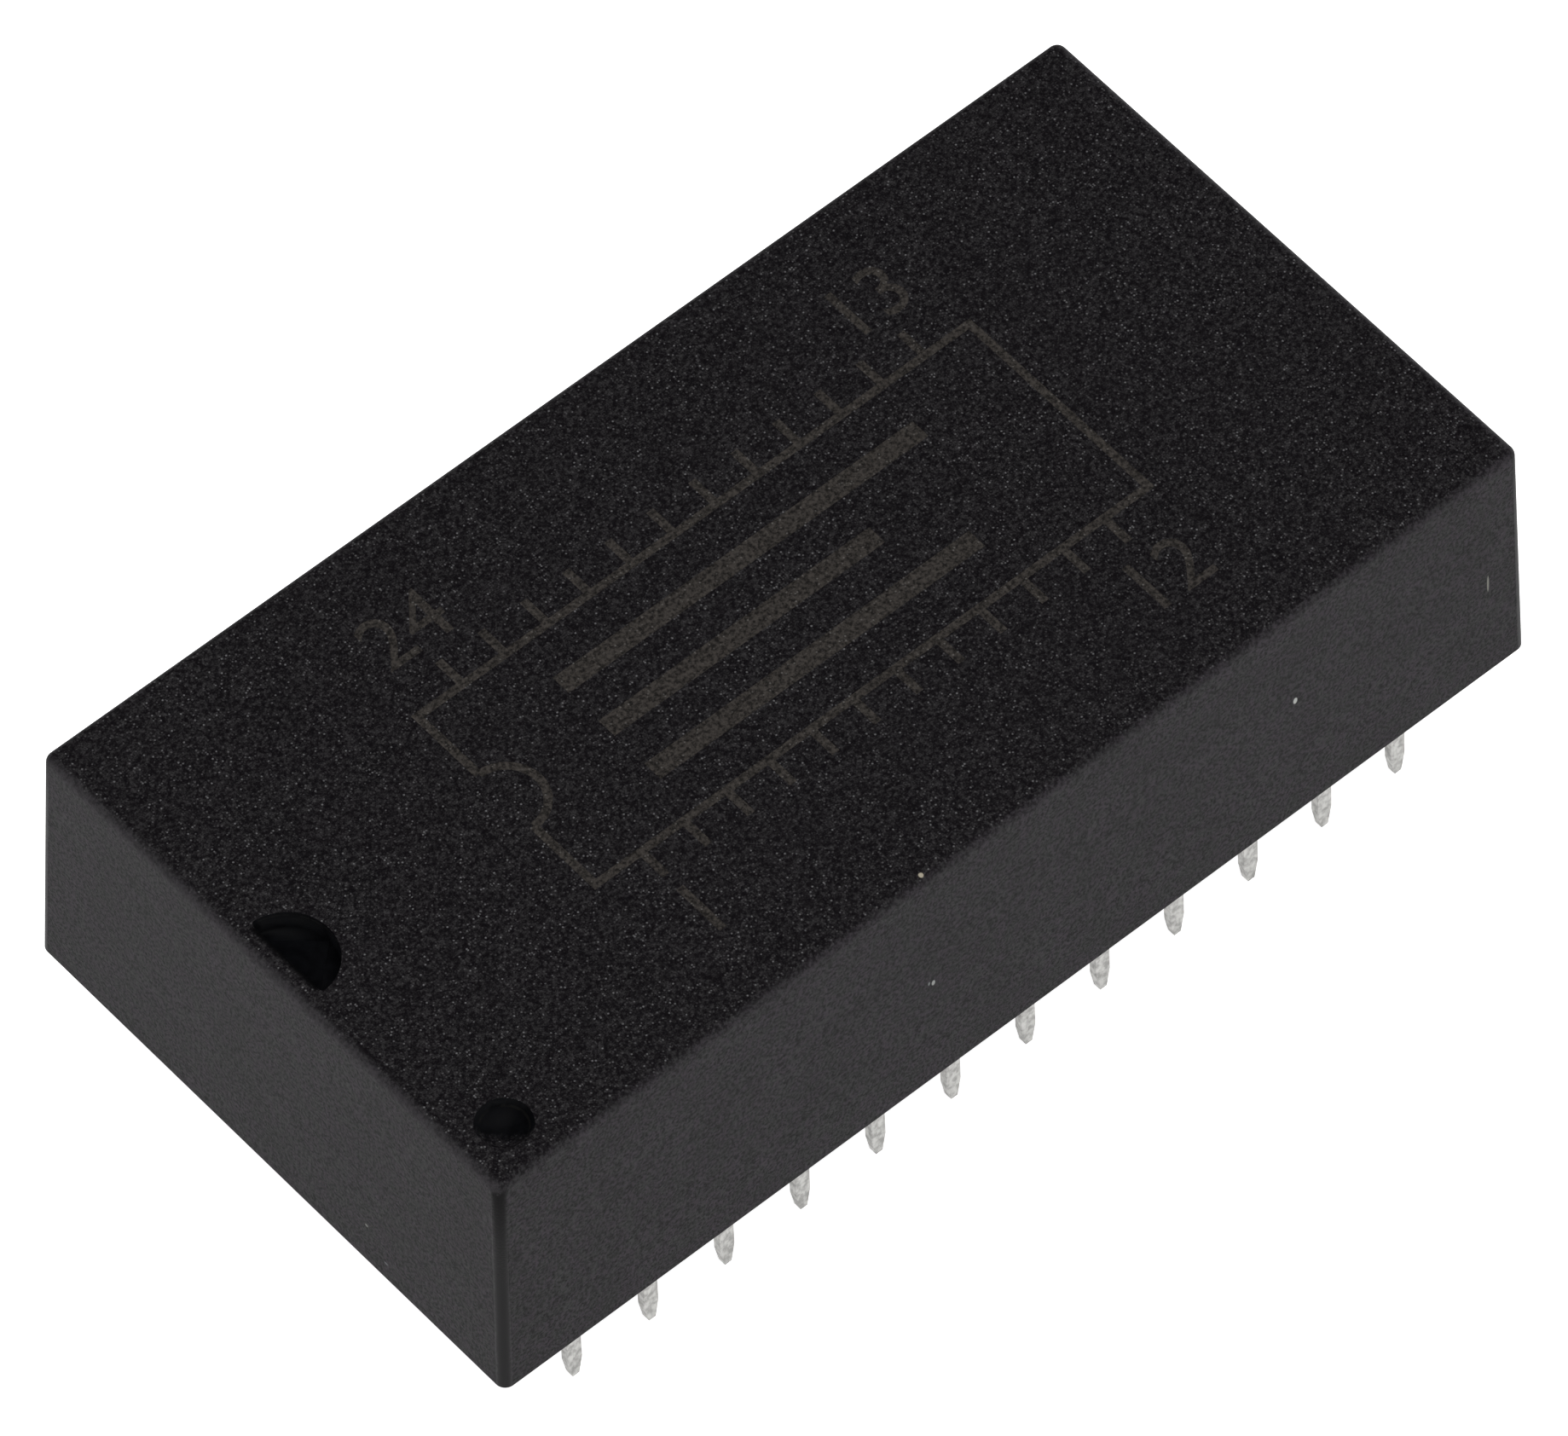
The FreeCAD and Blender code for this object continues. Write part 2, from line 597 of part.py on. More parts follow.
def make_paddle():
    """Plate that carries the die, with the two tie bars cut off at the circuit body's ends."""
    body = new_body("die_paddle")
    sketch = new_sketch(body, "PaddleOutline", "XY_Plane", "frame_height")
    end, tie = "ic_length / 2", "tie_width / 2"
    length, width = "paddle_length / 2", "paddle_width / 2"
    quarter = [(length, "-" + width), (length, "-" + tie), (end, "-" + tie)]
    right = quarter + [(across, up[1:]) for across, up in reversed(quarter)]
    left = [("-" + across, up) for across, up in reversed(right)]
    outline(sketch, right + left)
    pad(body, "Paddle", sketch, "lead_thickness")
    return body


def make_die():
    body = new_body("die")
    sketch = new_sketch(body, "DieOutline", "XY_Plane", "frame_top")
    rectangle(sketch, "paddle_length - 2 * die_margin", "paddle_width - 2 * die_margin")
    pad(body, "Die", sketch, "die_thickness")
    return body


def make_cell():
    """Button cell, turned so that its smaller negative cap faces the circuit."""
    body = new_body("lithium_cell")
    sketch = new_sketch(body, "CellProfile", "XZ_Plane")
    outline(sketch, [
        ("0", "0"),
        ("cell_diameter / 2 - cell_flange", "0"),
        ("cell_diameter / 2 - cell_flange", "cell_step_height"),
        ("cell_diameter / 2", "cell_step_height"),
        ("cell_diameter / 2", "cell_height"),
        ("0", "cell_height"),
    ])
    can = turn(body, "Revolution", "Can", sketch)
    reach = number("cell_diameter / 2")

    at_step = level_at(number("cell_step_height"))

    def crimped_rim(edge):
        return at_step(edge) and abs(edge.BoundBox.XMax - reach) < SMALL

    bevel_edges(body, "Crimp", can, "cell_crimp", crimped_rim)
    body.setExpression("Placement.Base.x", bound("cell_place"))
    body.setExpression("Placement.Base.z", bound("cell_base"))
    document.recompute()
    return body


def make_tab(label, side, level, end):
    """Welded strip that lies on the cell at a level, then turns along its contact to the height end."""
    body = new_body(label)
    downward = number(end) < number(level)
    near, far = ("%s + tab_thickness" % level, level) if downward else (level, "%s + tab_thickness" % level)
    start = "contact_face - tab_thickness - cell_gap - tab_reach"
    sketch = new_sketch(body, "TabProfile", "XZ_Plane", "-(%s cell_contact_spacing / 2)" % side)
    outline(sketch, [
        (start, near),
        ("contact_face", near),
        ("contact_face", end),
        ("contact_face - tab_thickness", end),
        ("contact_face - tab_thickness", far),
        (start, far),
    ])
    strip = pad(body, "TabStrip", sketch, "tab_width", middle=True)
    inside = crease_at(number("contact_face - tab_thickness"), number(far), "y")
    bend = round_edges(body, "InsideBend", strip, "tab_radius", inside)
    outside = crease_at(number("contact_face"), number(near), "y")
    round_edges(body, "OutsideBend", bend, "tab_radius + tab_thickness", outside)
    return body


def make_crystal():
    """Tuning-fork crystal can, lying on the circuit body."""
    body = new_body("crystal_can")
    sketch = new_sketch(body, "CanSection", "YZ_Plane", "-crystal_base")
    circle(sketch, "0", "crystal_axis", "crystal_diameter / 2")
    can = pad(body, "Can", sketch, "crystal_length")
    closed_end = number("crystal_length - crystal_base")

    def at_closed_end(edge):
        return edge.BoundBox.XLength < SMALL and abs(edge.BoundBox.XMax - closed_end) < SMALL

    bevel_edges(body, "ClosedEnd", can, "crystal_bevel", at_closed_end)
    return body


def make_crystal_wire(label, side):
    """Wire from the crystal's base, splayed sideways and welded to the face of its contact."""
    body = new_body(label)
    sketch = new_sketch(body, "WireSection", "YZ_Plane", "-crystal_base")
    circle(sketch, "%scrystal_wire_spacing / 2" % side, "crystal_axis", "crystal_wire_diameter / 2")
    wire = pad(body, "Wire", sketch, "crystal_wire_reach")
    wire.UseCustomVector = True
    wire.AlongSketchNormal = True
    wire.setExpression("Direction.x", bound("-crystal_wire_reach"))
    wire.setExpression("Direction.y", bound("%s(crystal_contact_spacing - crystal_wire_spacing) / 2" % side))
    document.recompute()
    return body


def cut_from(label, base, tools):
    """The base with the room of every tool taken out of it."""
    together = document.addObject("Part::MultiFuse", label + "_contents")
    together.Shapes = tools
    result = document.addObject("Part::Cut", label)
    result.Label = label
    result.Base = base
    result.Tool = together
    document.recompute()
    return result


def check_document():
    for item in document.Objects:
        if "Invalid" in item.State or "Error" in item.State:
            raise RuntimeError("%s failed: %s" % (item.Label, item.State))


def write_parts(pieces):
    os.makedirs("parts", exist_ok=True)
    for piece in pieces:
        shape = piece.Shape
        if shape.isNull() or not shape.isValid():
            raise RuntimeError("%s has no valid shape" % piece.Label)
        if len(shape.Solids) != 1:
            raise RuntimeError("%s has %d solids" % (piece.Label, len(shape.Solids)))
    for piece in pieces:
        piece.Shape.exportStep("parts/%s.step" % piece.Label)
        print("%-24s %10.4f mm3" % (piece.Label, piece.Shape.Volume))


def main():
    cap = make_cap()
    leads = [make_lead(count) for count in range(1, 2 * LEADS_PER_ROW + 1)]
    contacts = [
        make_contact("crystal_contact_a", "crystal_contact_spacing", "-", turned=False),
        make_contact("crystal_contact_b", "crystal_contact_spacing", "", turned=False),
        make_contact("cell_contact_positive", "cell_contact_spacing", "", turned=True),
        make_contact("cell_contact_negative", "cell_contact_spacing", "-", turned=True),
    ]
    frame = leads + contacts + [make_paddle()]
    die = make_die()
    cell = make_cell()
    positive_end = "contact_top - tab_lap"
    negative_end = "ic_top + tab_thickness + tab_lap"
    tabs = [
        make_tab("cell_tab_positive", "-", "cell_top", positive_end),
        make_tab("cell_tab_negative", "", "ic_top", negative_end),
    ]
    crystal = [
        make_crystal(),
        make_crystal_wire("crystal_wire_a", "-"),
        make_crystal_wire("crystal_wire_b", ""),
    ]
    moulding = make_moulding()
    ic_body = cut_from("ic_body", moulding, frame + [die])
    inside = [moulding] + frame + [cell] + tabs + crystal
    potting = cut_from("potting", make_fill(), inside)
    check_document()
    write_parts([cap, potting, ic_body, die, cell] + frame + tabs + crystal)


main()
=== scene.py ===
import math

import bmesh
import bpy
from mathutils import Matrix, Vector
from mathutils.geometry import delaunay_2d_cdt


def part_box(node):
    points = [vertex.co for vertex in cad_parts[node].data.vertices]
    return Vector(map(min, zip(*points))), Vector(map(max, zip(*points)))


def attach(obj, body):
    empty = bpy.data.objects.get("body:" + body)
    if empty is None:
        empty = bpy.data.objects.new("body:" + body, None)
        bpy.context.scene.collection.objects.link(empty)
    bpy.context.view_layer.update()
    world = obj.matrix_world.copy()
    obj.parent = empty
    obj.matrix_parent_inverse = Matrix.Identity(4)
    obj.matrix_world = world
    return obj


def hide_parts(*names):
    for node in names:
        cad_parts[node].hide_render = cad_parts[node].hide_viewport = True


# Battery-backed clock memory: finishes, laser marks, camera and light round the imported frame.
# Scene lengths are metres. Named lengths below are millimetres and are multiplied by MM where used.
# Colours are linear red, green and blue.

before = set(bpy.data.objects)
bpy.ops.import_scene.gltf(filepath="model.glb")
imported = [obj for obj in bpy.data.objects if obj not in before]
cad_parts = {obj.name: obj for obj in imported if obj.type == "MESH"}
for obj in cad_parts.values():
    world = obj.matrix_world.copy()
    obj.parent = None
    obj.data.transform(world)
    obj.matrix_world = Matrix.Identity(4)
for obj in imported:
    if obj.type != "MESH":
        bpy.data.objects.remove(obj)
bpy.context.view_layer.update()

MM = 0.001
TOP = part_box("cap")[1].z
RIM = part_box("cap")[0].z
LEADS = ["lead_%02d" % count for count in range(1, 25)]
LEAD_FRAME = ["crystal_contact_a", "crystal_contact_b", "cell_contact_positive", "cell_contact_negative",
              "die_paddle"]

# Camera, as fitted to the photograph, with its angles in degrees
LENS = 409.8
SENSOR = 36.0
CAMERA_AIM = (0.984, 1.233, 4.932)
CAMERA_DISTANCE = 454.43
CAMERA_AZIMUTH = -40.52
CAMERA_ELEVATION = 54.754
CAMERA_ROLL = -0.809
CAMERA_NEAR = 10.0
CAMERA_FAR = 5000.0

# Soft lights: azimuth and elevation in degrees, distance and width, and power in watts
SOFTBOXES = {
    "key_light": (-75, 55, 500.0, 350.0, 0.6),
    "top_light": (20, 80, 600.0, 500.0, 2.3),
    "fill_light": (60, 35, 600.0, 400.0, 0.9),
}
WORLD_LIGHT = 0.05

# Floor: distance from its middle to its sides, and a glow of its own that keeps it evenly pale
FLOOR_REACH = 1500.0
FLOOR_WHITE = (0.82, 0.82, 0.82)
FLOOR_GLOW = 0.92

# Walls of the cap, which lean in by a share of their height, and the recess and dimple on its top face
WALL_LEAN = 0.0323
CORNER_RADIUS = 0.30
INDEX_WALL = -16.38
INDEX_RADIUS = 1.38
DIMPLE_CENTRE = (-15.55, -7.32)
DIMPLE_RADIUS = 0.76
HOLLOW_MARGIN = 0.05
HOLLOW_REACH = 1.0

# Laser marks on the top face: a plain diagram of the package
LEADS_PER_ROW = 12
MARK_DEPTH = 0.008
STROKE = 0.24
SYMBOL_LENGTH = 18.4
SYMBOL_WIDTH = 6.8
SYMBOL_NOTCH = 1.05
SYMBOL_BARS = ((-5.9, 6.1, 1.75), (-5.9, 3.1, 0.0), (-5.9, 4.9, -1.75))
SYMBOL_BAR_WIDTH = 0.62
TICK_SPACING = 1.40
TICK_LENGTH = 0.95
NUMERAL_HEIGHT = 1.65
NUMERAL_GAP = 0.50
MARKED_LENGTH = 26.0
MARKED_WIDTH = 15.0

# Tolerances: what counts as one level, one corner and a face that looks up, and what is too small to keep
LEVEL = 1e-3
WELD = 1e-4
FACING_UP = 0.9999
SLIVER = 1e-5
CREASE_ANGLE = 28

# Slots of the cap's finishes
BLACK, HOLLOW, MARK = range(3)

# Parts of a noise's range over which a tone turns from one side to the other
CRISP = (0.40, 0.60)
CLEAR = (0.36, 0.64)
SOFT = (0.35, 0.65)
FAINT = (0.3, 0.7)

# Matte sides of the cap. A noise is its lumps per millimetre, its detail and its roughness.
CAP_BLACK = (0.01, 0.01, 0.01)
SIDE_LILAC = (0.0360, 0.0300, 0.0372)
SIDE_GREY = (0.0315, 0.0318, 0.0322)
SIDE_PITS = (0.0004, 0.0002, 0.0005)
SIDE_MOTTLE = (2.6, 3.0, 0.6)
SIDE_CLOUDS = (0.55, 3.0, 0.6)
SIDE_CLOUD_DEPTH = 0.14
SIDE_GRAIN = (14.0, 2.0)
SIDE_ROUGHNESS = 0.46
SIDE_STRENGTH = 0.6
FINE_RELIEF = 0.012
# Painted shade: the rounding of the upright corners is coloured darker than the sides, darkest along its
# middle.
CORNER_PAINTED_SHADE = (0.0030, 0.0027, 0.0031)
CORNER_CORE = 0.65 * CORNER_RADIUS

# Sand on the top. A grain's chance and size are ranges of its cell's random value and distance.
SAND_GRAIN = (10.0, 4.0, 0.80)
SAND_PITS = (0.0042, 0.0034, 0.0045)
SAND_CRESTS = (0.042, 0.0402, 0.0418)
SAND_CREST_RANGE = (0.36, 0.72)
SAND_CREST_POWER = 1.7
SAND_CELLS = 14.0
PALE_GRAINS = (0.080, 0.077, 0.080)
PALE_POWER = 4.0
PALE_SIZE = (0.60, 0.10)
GLINTS = (0.15, 0.15, 0.155)
GLINT_CHANCE = (0.90, 1.0)
GLINT_SIZE = (0.50, 0.10)
SAND_ROUGHNESS = 0.62
SAND_STRENGTH = 0.7
SAND_RELIEF = 0.03

# Top edges. The sand and the painted highlight on the rounded edges start and are full at these depths below
# the top and insets from the walls. An edge's painted highlight is its two insets and its shares there.
SAND_DEPTHS = (0.40, 0.30)
SAND_INSETS = (-0.02, 0.28)
RAGS = (7.0, 2.0)
SAND_RAGS = (1.2, 0.4)
# Painted highlight: the rounded top edges are coloured paler where light falls on them, broken by the grain.
PAINTED_EDGE_LIGHT = (0.060, 0.057, 0.061)
EDGE_LIGHT_DEPTHS = (0.31, 0.19)
EDGE_LIGHT_LEAST = 0.7
END_EDGE_LIGHT = (0.30, 0.02, 0.0, 0.66)
SIDE_EDGE_LIGHT = (0.20, 0.02, 0.0, 0.34)

# Index recess and dimple: smooth black, coloured darker than the cap's own black as painted shade, with a
# faint broken line part way down their walls
HOLLOW_SHADE_BLACK = (0.001, 0.001, 0.0013)
HOLLOW_SHADE_DARK = (0.0017, 0.0018, 0.0023)
HOLLOW_SHEEN = (0.0030, 0.0032, 0.0040)
HOLLOW_CLOUDS = 3.0
HOLLOW_ROUGHNESS = (0.44, 0.58)
HOLLOW_RELIEF = 0.02
LIP_REACH = (0.20, 0.03)
LIP_FADE = 0.25
LINE_GREY = (0.006, 0.006, 0.0058)
LINE_DEPTH = 0.13
LINE_WIDTH = (0.03, 0.01)
LINE_BREAKS = 4.0
DIMPLE_INWARD = (0.65, 0.76, 0.0)
DIMPLE_RAGS = (0.6, -0.3)
DIMPLE_SAND = (-0.05, -0.72)
DIMPLE_SIDE = (-5.0, -6.0)

# Laser marks
MARK_GRAIN = (9.0, 4.0, 0.75)
MARK_PITS = (0.012, 0.0108, 0.0102)
MARK_FOAM = (0.056, 0.0498, 0.0452)
MARK_GLINTS = (0.12, 0.114, 0.108)
MARK_GLINT_CHANCE = (0.86, 1.0)
MARK_GLINT_SIZE = (0.55, 0.10)

# Pale nicks and a scratch: centre, half sizes and colour
NICKS = (
    ((9.32, -8.87, 8.57), (0.07, 0.10, 0.12), (0.36, 0.37, 0.355)),
    ((15.91, -8.90, 7.58), (0.035, 0.10, 0.34), (0.16, 0.16, 0.14)),
    ((-3.02, -8.89, 7.90), (0.04, 0.10, 0.07), (0.13, 0.14, 0.14)),
    ((-2.88, -8.89, 7.82), (0.06, 0.10, 0.10), (0.26, 0.27, 0.26)),
    ((-17.20, -3.75, 5.35), (0.10, 0.06, 0.05), (0.14, 0.14, 0.13)),
    ((-17.23, -4.50, 4.50), (0.10, 0.08, 0.04), (0.10, 0.10, 0.11)),
    ((-2.97, -8.53, 12.22), (0.07, 0.07, 0.08), (0.40, 0.36, 0.28)),
)
NICK_EDGE = (1.15, 0.75)

# Cast resin, moulded epoxy and silicon
RESIN = (0.008, 0.008, 0.0085)
RESIN_CLOUDS = (1.5, 3.0)
RESIN_ROUGHNESS = (0.22, 0.42)
RESIN_WAVES = (0.45, 1.0)
RESIN_WAVE_RELIEF = 0.25
RESIN_GRAIN = (6.0, 2.0)
RESIN_GRAIN_RELIEF = 0.01
EPOXY = (0.016, 0.016, 0.017)
EPOXY_DARK = (0.012, 0.012, 0.0125)
EPOXY_PALE = (0.022, 0.0215, 0.022)
EPOXY_CLOUDS = (2.0, 4.0)
EPOXY_GRAIN = (16.0, 2.0)
SILICON = (0.05, 0.055, 0.07)
SILICON_BLUE = (0.04, 0.045, 0.065)
SILICON_GREY = (0.075, 0.07, 0.075)
SILICON_CLOUDS = (0.8, 2.0)

# Tin plating of the leads
TIN = (0.46, 0.455, 0.44)
TIN_MOTTLED = (0.30, 0.297, 0.286)
TIN_DRAWN = (0.27, 0.27, 0.26)
TIN_MOTTLE = (5.0, 3.0, 0.60)
TIN_MOTTLE_RANGE = (0.36, 0.66)
TIN_MOTTLE_RELIEF = 0.010
TIN_ROUGHNESS = (0.38, 0.56)
TIN_STREAKS = (12.0, 3.0, 0.6)
TIN_DRAWN_RANGE = (0.50, 0.85)

# Metals inside: pieces, dark and light tone, roughness, streaks per millimetre and their stretch
ALONG_X = (0.12, 1.0, 1.0)
ALONG_Y = (1.0, 0.12, 1.0)
ALONG_Z = (1.0, 1.0, 0.15)
METALS = {
    "bare_copper_alloy": (LEAD_FRAME, (0.45, 0.26, 0.17), (0.80, 0.50, 0.36), 0.34, 12.0, ALONG_Z),
    "plated_steel": (["lithium_cell"], (0.38, 0.38, 0.37), (0.66, 0.66, 0.64), 0.26, 8.0, ALONG_Y),
    "nickel_strip": (["cell_tab_positive", "cell_tab_negative"],
                     (0.40, 0.38, 0.35), (0.66, 0.63, 0.58), 0.32, 9.0, ALONG_X),
    "drawn_can": (["crystal_can"], (0.46, 0.46, 0.46), (0.74, 0.74, 0.74), 0.22, 9.0, ALONG_X),
    "tinned_wire": (["crystal_wire_a", "crystal_wire_b"],
                    (0.5, 0.5, 0.5), (0.78, 0.78, 0.77), 0.3, 14.0, (0.2, 1.0, 1.0)),
}

# Drawn streaks and uneven polish that all the metals share
STREAK_RELIEF = 0.008
STREAK_STRENGTH = 0.35
METAL_CLOUDS = (1.8, 3.0)


class Finish:
    """A material under construction, with one short call for each kind of node."""

    def __init__(self, name, colour, roughness, metallic=0.0, specular=0.5):
        self.material = bpy.data.materials.new(name)
        self.material.use_nodes = True
        self.tree = self.material.node_tree
        self.shader = self.tree.nodes["Principled BSDF"]
        self.set("Base Color", (*colour, 1.0))
        self.set("Roughness", roughness)
        self.set("Metallic", metallic)
        self.set("Specular IOR Level", specular)
        place = self.tree.nodes.new("ShaderNodeTexCoord").outputs["Object"]
        self.place = self.scaled(place, (1 / MM,) * 3)

    def set(self, socket, value):
        """Give a shader socket a plain value, or link an output to it."""
        self.feed(self.shader.inputs[socket], value)

    def feed(self, socket, value):
        if isinstance(value, bpy.types.NodeSocket):
            self.tree.links.new(value, socket)
        else:
            socket.default_value = value

    def scaled(self, vector, factors):
        node = self.tree.nodes.new("ShaderNodeMapping")
        self.feed(node.inputs["Vector"], vector)
        node.inputs["Scale"].default_value = factors
        return node.outputs["Vector"]

    def axis(self, letter):
        """One coordinate of the point, in millimetres."""
        node = self.tree.nodes.new("ShaderNodeSeparateXYZ")
        self.feed(node.inputs[0], self.place)
        return node.outputs[letter]

    def maths(self, operation, *values):
        node = self.tree.nodes.new("ShaderNodeMath")
        node.operation = operation
        for socket, value in zip(node.inputs, values):
            self.feed(socket, value)
        return node.outputs[0]

    def vector(self, operation, *values):
        node = self.tree.nodes.new("ShaderNodeVectorMath")
        node.operation = operation
        for socket, value in zip(node.inputs, values):
            self.feed(socket, value)
        return node.outputs["Value"] if operation in ("LENGTH", "DOT_PRODUCT") else node.outputs["Vector"]

    def noise(self, scale, detail=2.0, roughness=0.5, stretch=None):
        """Cloudy noise. Scale counts its lumps per millimetre."""
        node = self.tree.nodes.new("ShaderNodeTexNoise")
        place = self.scaled(self.place, stretch) if stretch else self.place
        self.feed(node.inputs["Vector"], place)
        node.inputs["Scale"].default_value = scale
        node.inputs["Detail"].default_value = detail
        node.inputs["Roughness"].default_value = roughness
        return node.outputs["Fac"]

    def cells(self, scale):
        """Scattered points: the distance to the nearest one, and a random value for each."""
        node = self.tree.nodes.new("ShaderNodeTexVoronoi")
        self.feed(node.inputs["Vector"], self.place)
        node.inputs["Scale"].default_value = scale
        split = self.tree.nodes.new("ShaderNodeSeparateColor")
        self.feed(split.inputs[0], node.outputs["Color"])
        return node.outputs["Distance"], split.outputs[0]

    def ease(self, value, low, high, start=0.0, end=1.0):
        """Smooth step from start to end as the value goes from low to high."""
        node = self.tree.nodes.new("ShaderNodeMapRange")
        node.interpolation_type = "SMOOTHSTEP"
        self.feed(node.inputs["Value"], value)
        node.inputs["From Min"].default_value = low
        node.inputs["From Max"].default_value = high
        self.feed(node.inputs["To Min"], start)
        self.feed(node.inputs["To Max"], end)
        return node.outputs["Result"]

    def fade(self, share, start, end):
        """Number that goes from start to end with the share."""
        return self.ease(share, 0.0, 1.0, start, end)

    def near_top(self, low, high):
        """Share that rises from none to all between two depths below the cap's top."""
        return self.ease(self.axis("Z"), TOP / MM - low, TOP / MM - high)

    def spot(self, centre, sizes):
        """Share of a small oval spot, by its centre and half sizes."""
        away = self.vector("DIVIDE", self.vector("SUBTRACT", self.place, centre), sizes)
        return self.ease(self.vector("LENGTH", away), *NICK_EDGE)

    def blend(self, share, first, second):
        """Colour that goes from the first to the second with the share."""
        node = self.tree.nodes.new("ShaderNodeMix")
        node.data_type = "RGBA"
        self.feed(node.inputs["Factor"], share)
        for socket, colour in ((node.inputs[6], first), (node.inputs[7], second)):
            self.feed(socket, colour if isinstance(colour, bpy.types.NodeSocket) else (*colour, 1.0))
        return node.outputs[2]

    def bump(self, height, depth, strength=1.0, below=None):
        """Relief of a depth in millimetres, laid over the relief below."""
        node = self.tree.nodes.new("ShaderNodeBump")
        node.inputs["Distance"].default_value = depth * MM
        self.feed(node.inputs["Strength"], strength)
        self.feed(node.inputs["Height"], height)
        if below is not None:
            self.feed(node.inputs["Normal"], below)
        return node.outputs["Normal"]


def cap_finish():
    """Black moulded cap: spark-eroded sand over the top and its edges, fine matte sides, pale nicks, painted
    shade down the upright corners and over the recess's straight side, and a painted highlight on the
    rounded top edges.
    """
    finish = Finish("cap_black", CAP_BLACK, 0.5, specular=0.035)
    grain = finish.noise(*SAND_GRAIN)
    on_top, edge_light = edge_shares(finish, grain)
    # Sides, with painted shade down the upright corners.
    beside = finish.blend(at_corner(finish), side_tone(finish, grain), CORNER_PAINTED_SHADE)
    # Top sand, with the recess's painted shade over the strip by its straight side.
    above = finish.blend(at_recess_lip(finish), sand_tone(finish, grain), HOLLOW_SHADE_BLACK)
    # Painted highlight on the rounded top edges.
    tone = finish.blend(edge_light, finish.blend(on_top, beside, above), PAINTED_EDGE_LIGHT)
    for centre, sizes, colour in NICKS:
        tone = finish.blend(finish.spot(centre, sizes), tone, colour)
    finish.set("Base Color", tone)
    finish.set("Roughness", finish.fade(on_top, SIDE_ROUGHNESS, SAND_ROUGHNESS))
    below = finish.bump(finish.noise(*SIDE_GRAIN), FINE_RELIEF, finish.fade(on_top, SIDE_STRENGTH, 0.0))
    finish.set("Normal", finish.bump(grain, SAND_RELIEF, finish.fade(on_top, 0.0, SAND_STRENGTH), below))
    return finish.material


def side_tone(finish, grain):
    """Colour of the matte sides: grey and faintly lilac in patches, darker in clouds and in fine pits."""
    shade = finish.blend(finish.ease(finish.noise(*SIDE_MOTTLE), *CRISP), SIDE_LILAC, SIDE_GREY)
    fine = finish.blend(finish.ease(grain, *CLEAR), SIDE_PITS, shade)
    clouds = finish.ease(finish.noise(*SIDE_CLOUDS), *SOFT)
    return finish.blend(clouds, finish.blend(SIDE_CLOUD_DEPTH, fine, (0.0, 0.0, 0.0)), fine)


def sand_tone(finish, grain):
    """Colour of the sand: near-black pits, grey crests, single paler grains and a few bright glints."""
    crests = finish.maths("POWER", finish.ease(grain, *SAND_CREST_RANGE), SAND_CREST_POWER)
    tone = finish.blend(crests, SAND_PITS, SAND_CRESTS)
    distance, chance = finish.cells(SAND_CELLS)
    rare = finish.maths("POWER", chance, PALE_POWER)
    pale = finish.maths("MULTIPLY", rare, finish.ease(distance, *PALE_SIZE))
    tone = finish.blend(pale, tone, PALE_GRAINS)
    glint = finish.maths("MULTIPLY", finish.ease(chance, *GLINT_CHANCE), finish.ease(distance, *GLINT_SIZE))
    return finish.blend(glint, tone, GLINTS)


def wall_insets(finish):
    """Distances inward from the end walls and from the side walls, at the height of the point."""
    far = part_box("cap")[1] / MM
    lean = finish.maths("MULTIPLY", finish.maths("SUBTRACT", finish.axis("Z"), RIM / MM), WALL_LEAN)
    insets = []
    for letter, reach in (("X", far.x), ("Y", far.y)):
        across = finish.maths("ADD", finish.maths("ABSOLUTE", finish.axis(letter)), lean)
        insets.append(finish.maths("SUBTRACT", reach, across))
    return insets


def edge_shares(finish, grain):
    """Shares of the sand, which fades in raggedly over the top edges, and of the highlight painted paler on
    their rounding.
    """
    from_end, from_side = wall_insets(finish)
    ragged = finish.maths("MULTIPLY_ADD", finish.noise(*RAGS), *SAND_RAGS)
    inset = finish.maths("MULTIPLY", finish.maths("MINIMUM", from_end, from_side), ragged)
    sanded = finish.maths("MULTIPLY", finish.ease(inset, *SAND_INSETS), finish.near_top(*SAND_DEPTHS))
    lit_edges = finish.maths("MAXIMUM", finish.ease(from_end, *END_EDGE_LIGHT), finish.ease(from_side, *SIDE_EDGE_LIGHT))
    broken = finish.maths("MULTIPLY", lit_edges, finish.ease(grain, *CRISP, EDGE_LIGHT_LEAST, 1.0))
    return sanded, finish.maths("MULTIPLY", broken, finish.near_top(*EDGE_LIGHT_DEPTHS))


def at_corner(finish):
    """Share of the painted shade down the rounding at the cap's upright corners, strongest down its middle.
    """
    return finish.ease(finish.maths("ADD", *wall_insets(finish)), CORNER_RADIUS, CORNER_CORE)


def at_recess_lip(finish):
    """Share of the recess's painted shade carried onto the top along the straight side of the index recess.
    """
    away = finish.maths("ABSOLUTE", finish.maths("SUBTRACT", finish.axis("X"), INDEX_WALL))
    span = finish.ease(finish.maths("ABSOLUTE", finish.axis("Y")), INDEX_RADIUS, INDEX_RADIUS - LIP_FADE)
    return finish.maths("MULTIPLY", finish.ease(away, *LIP_REACH), span)


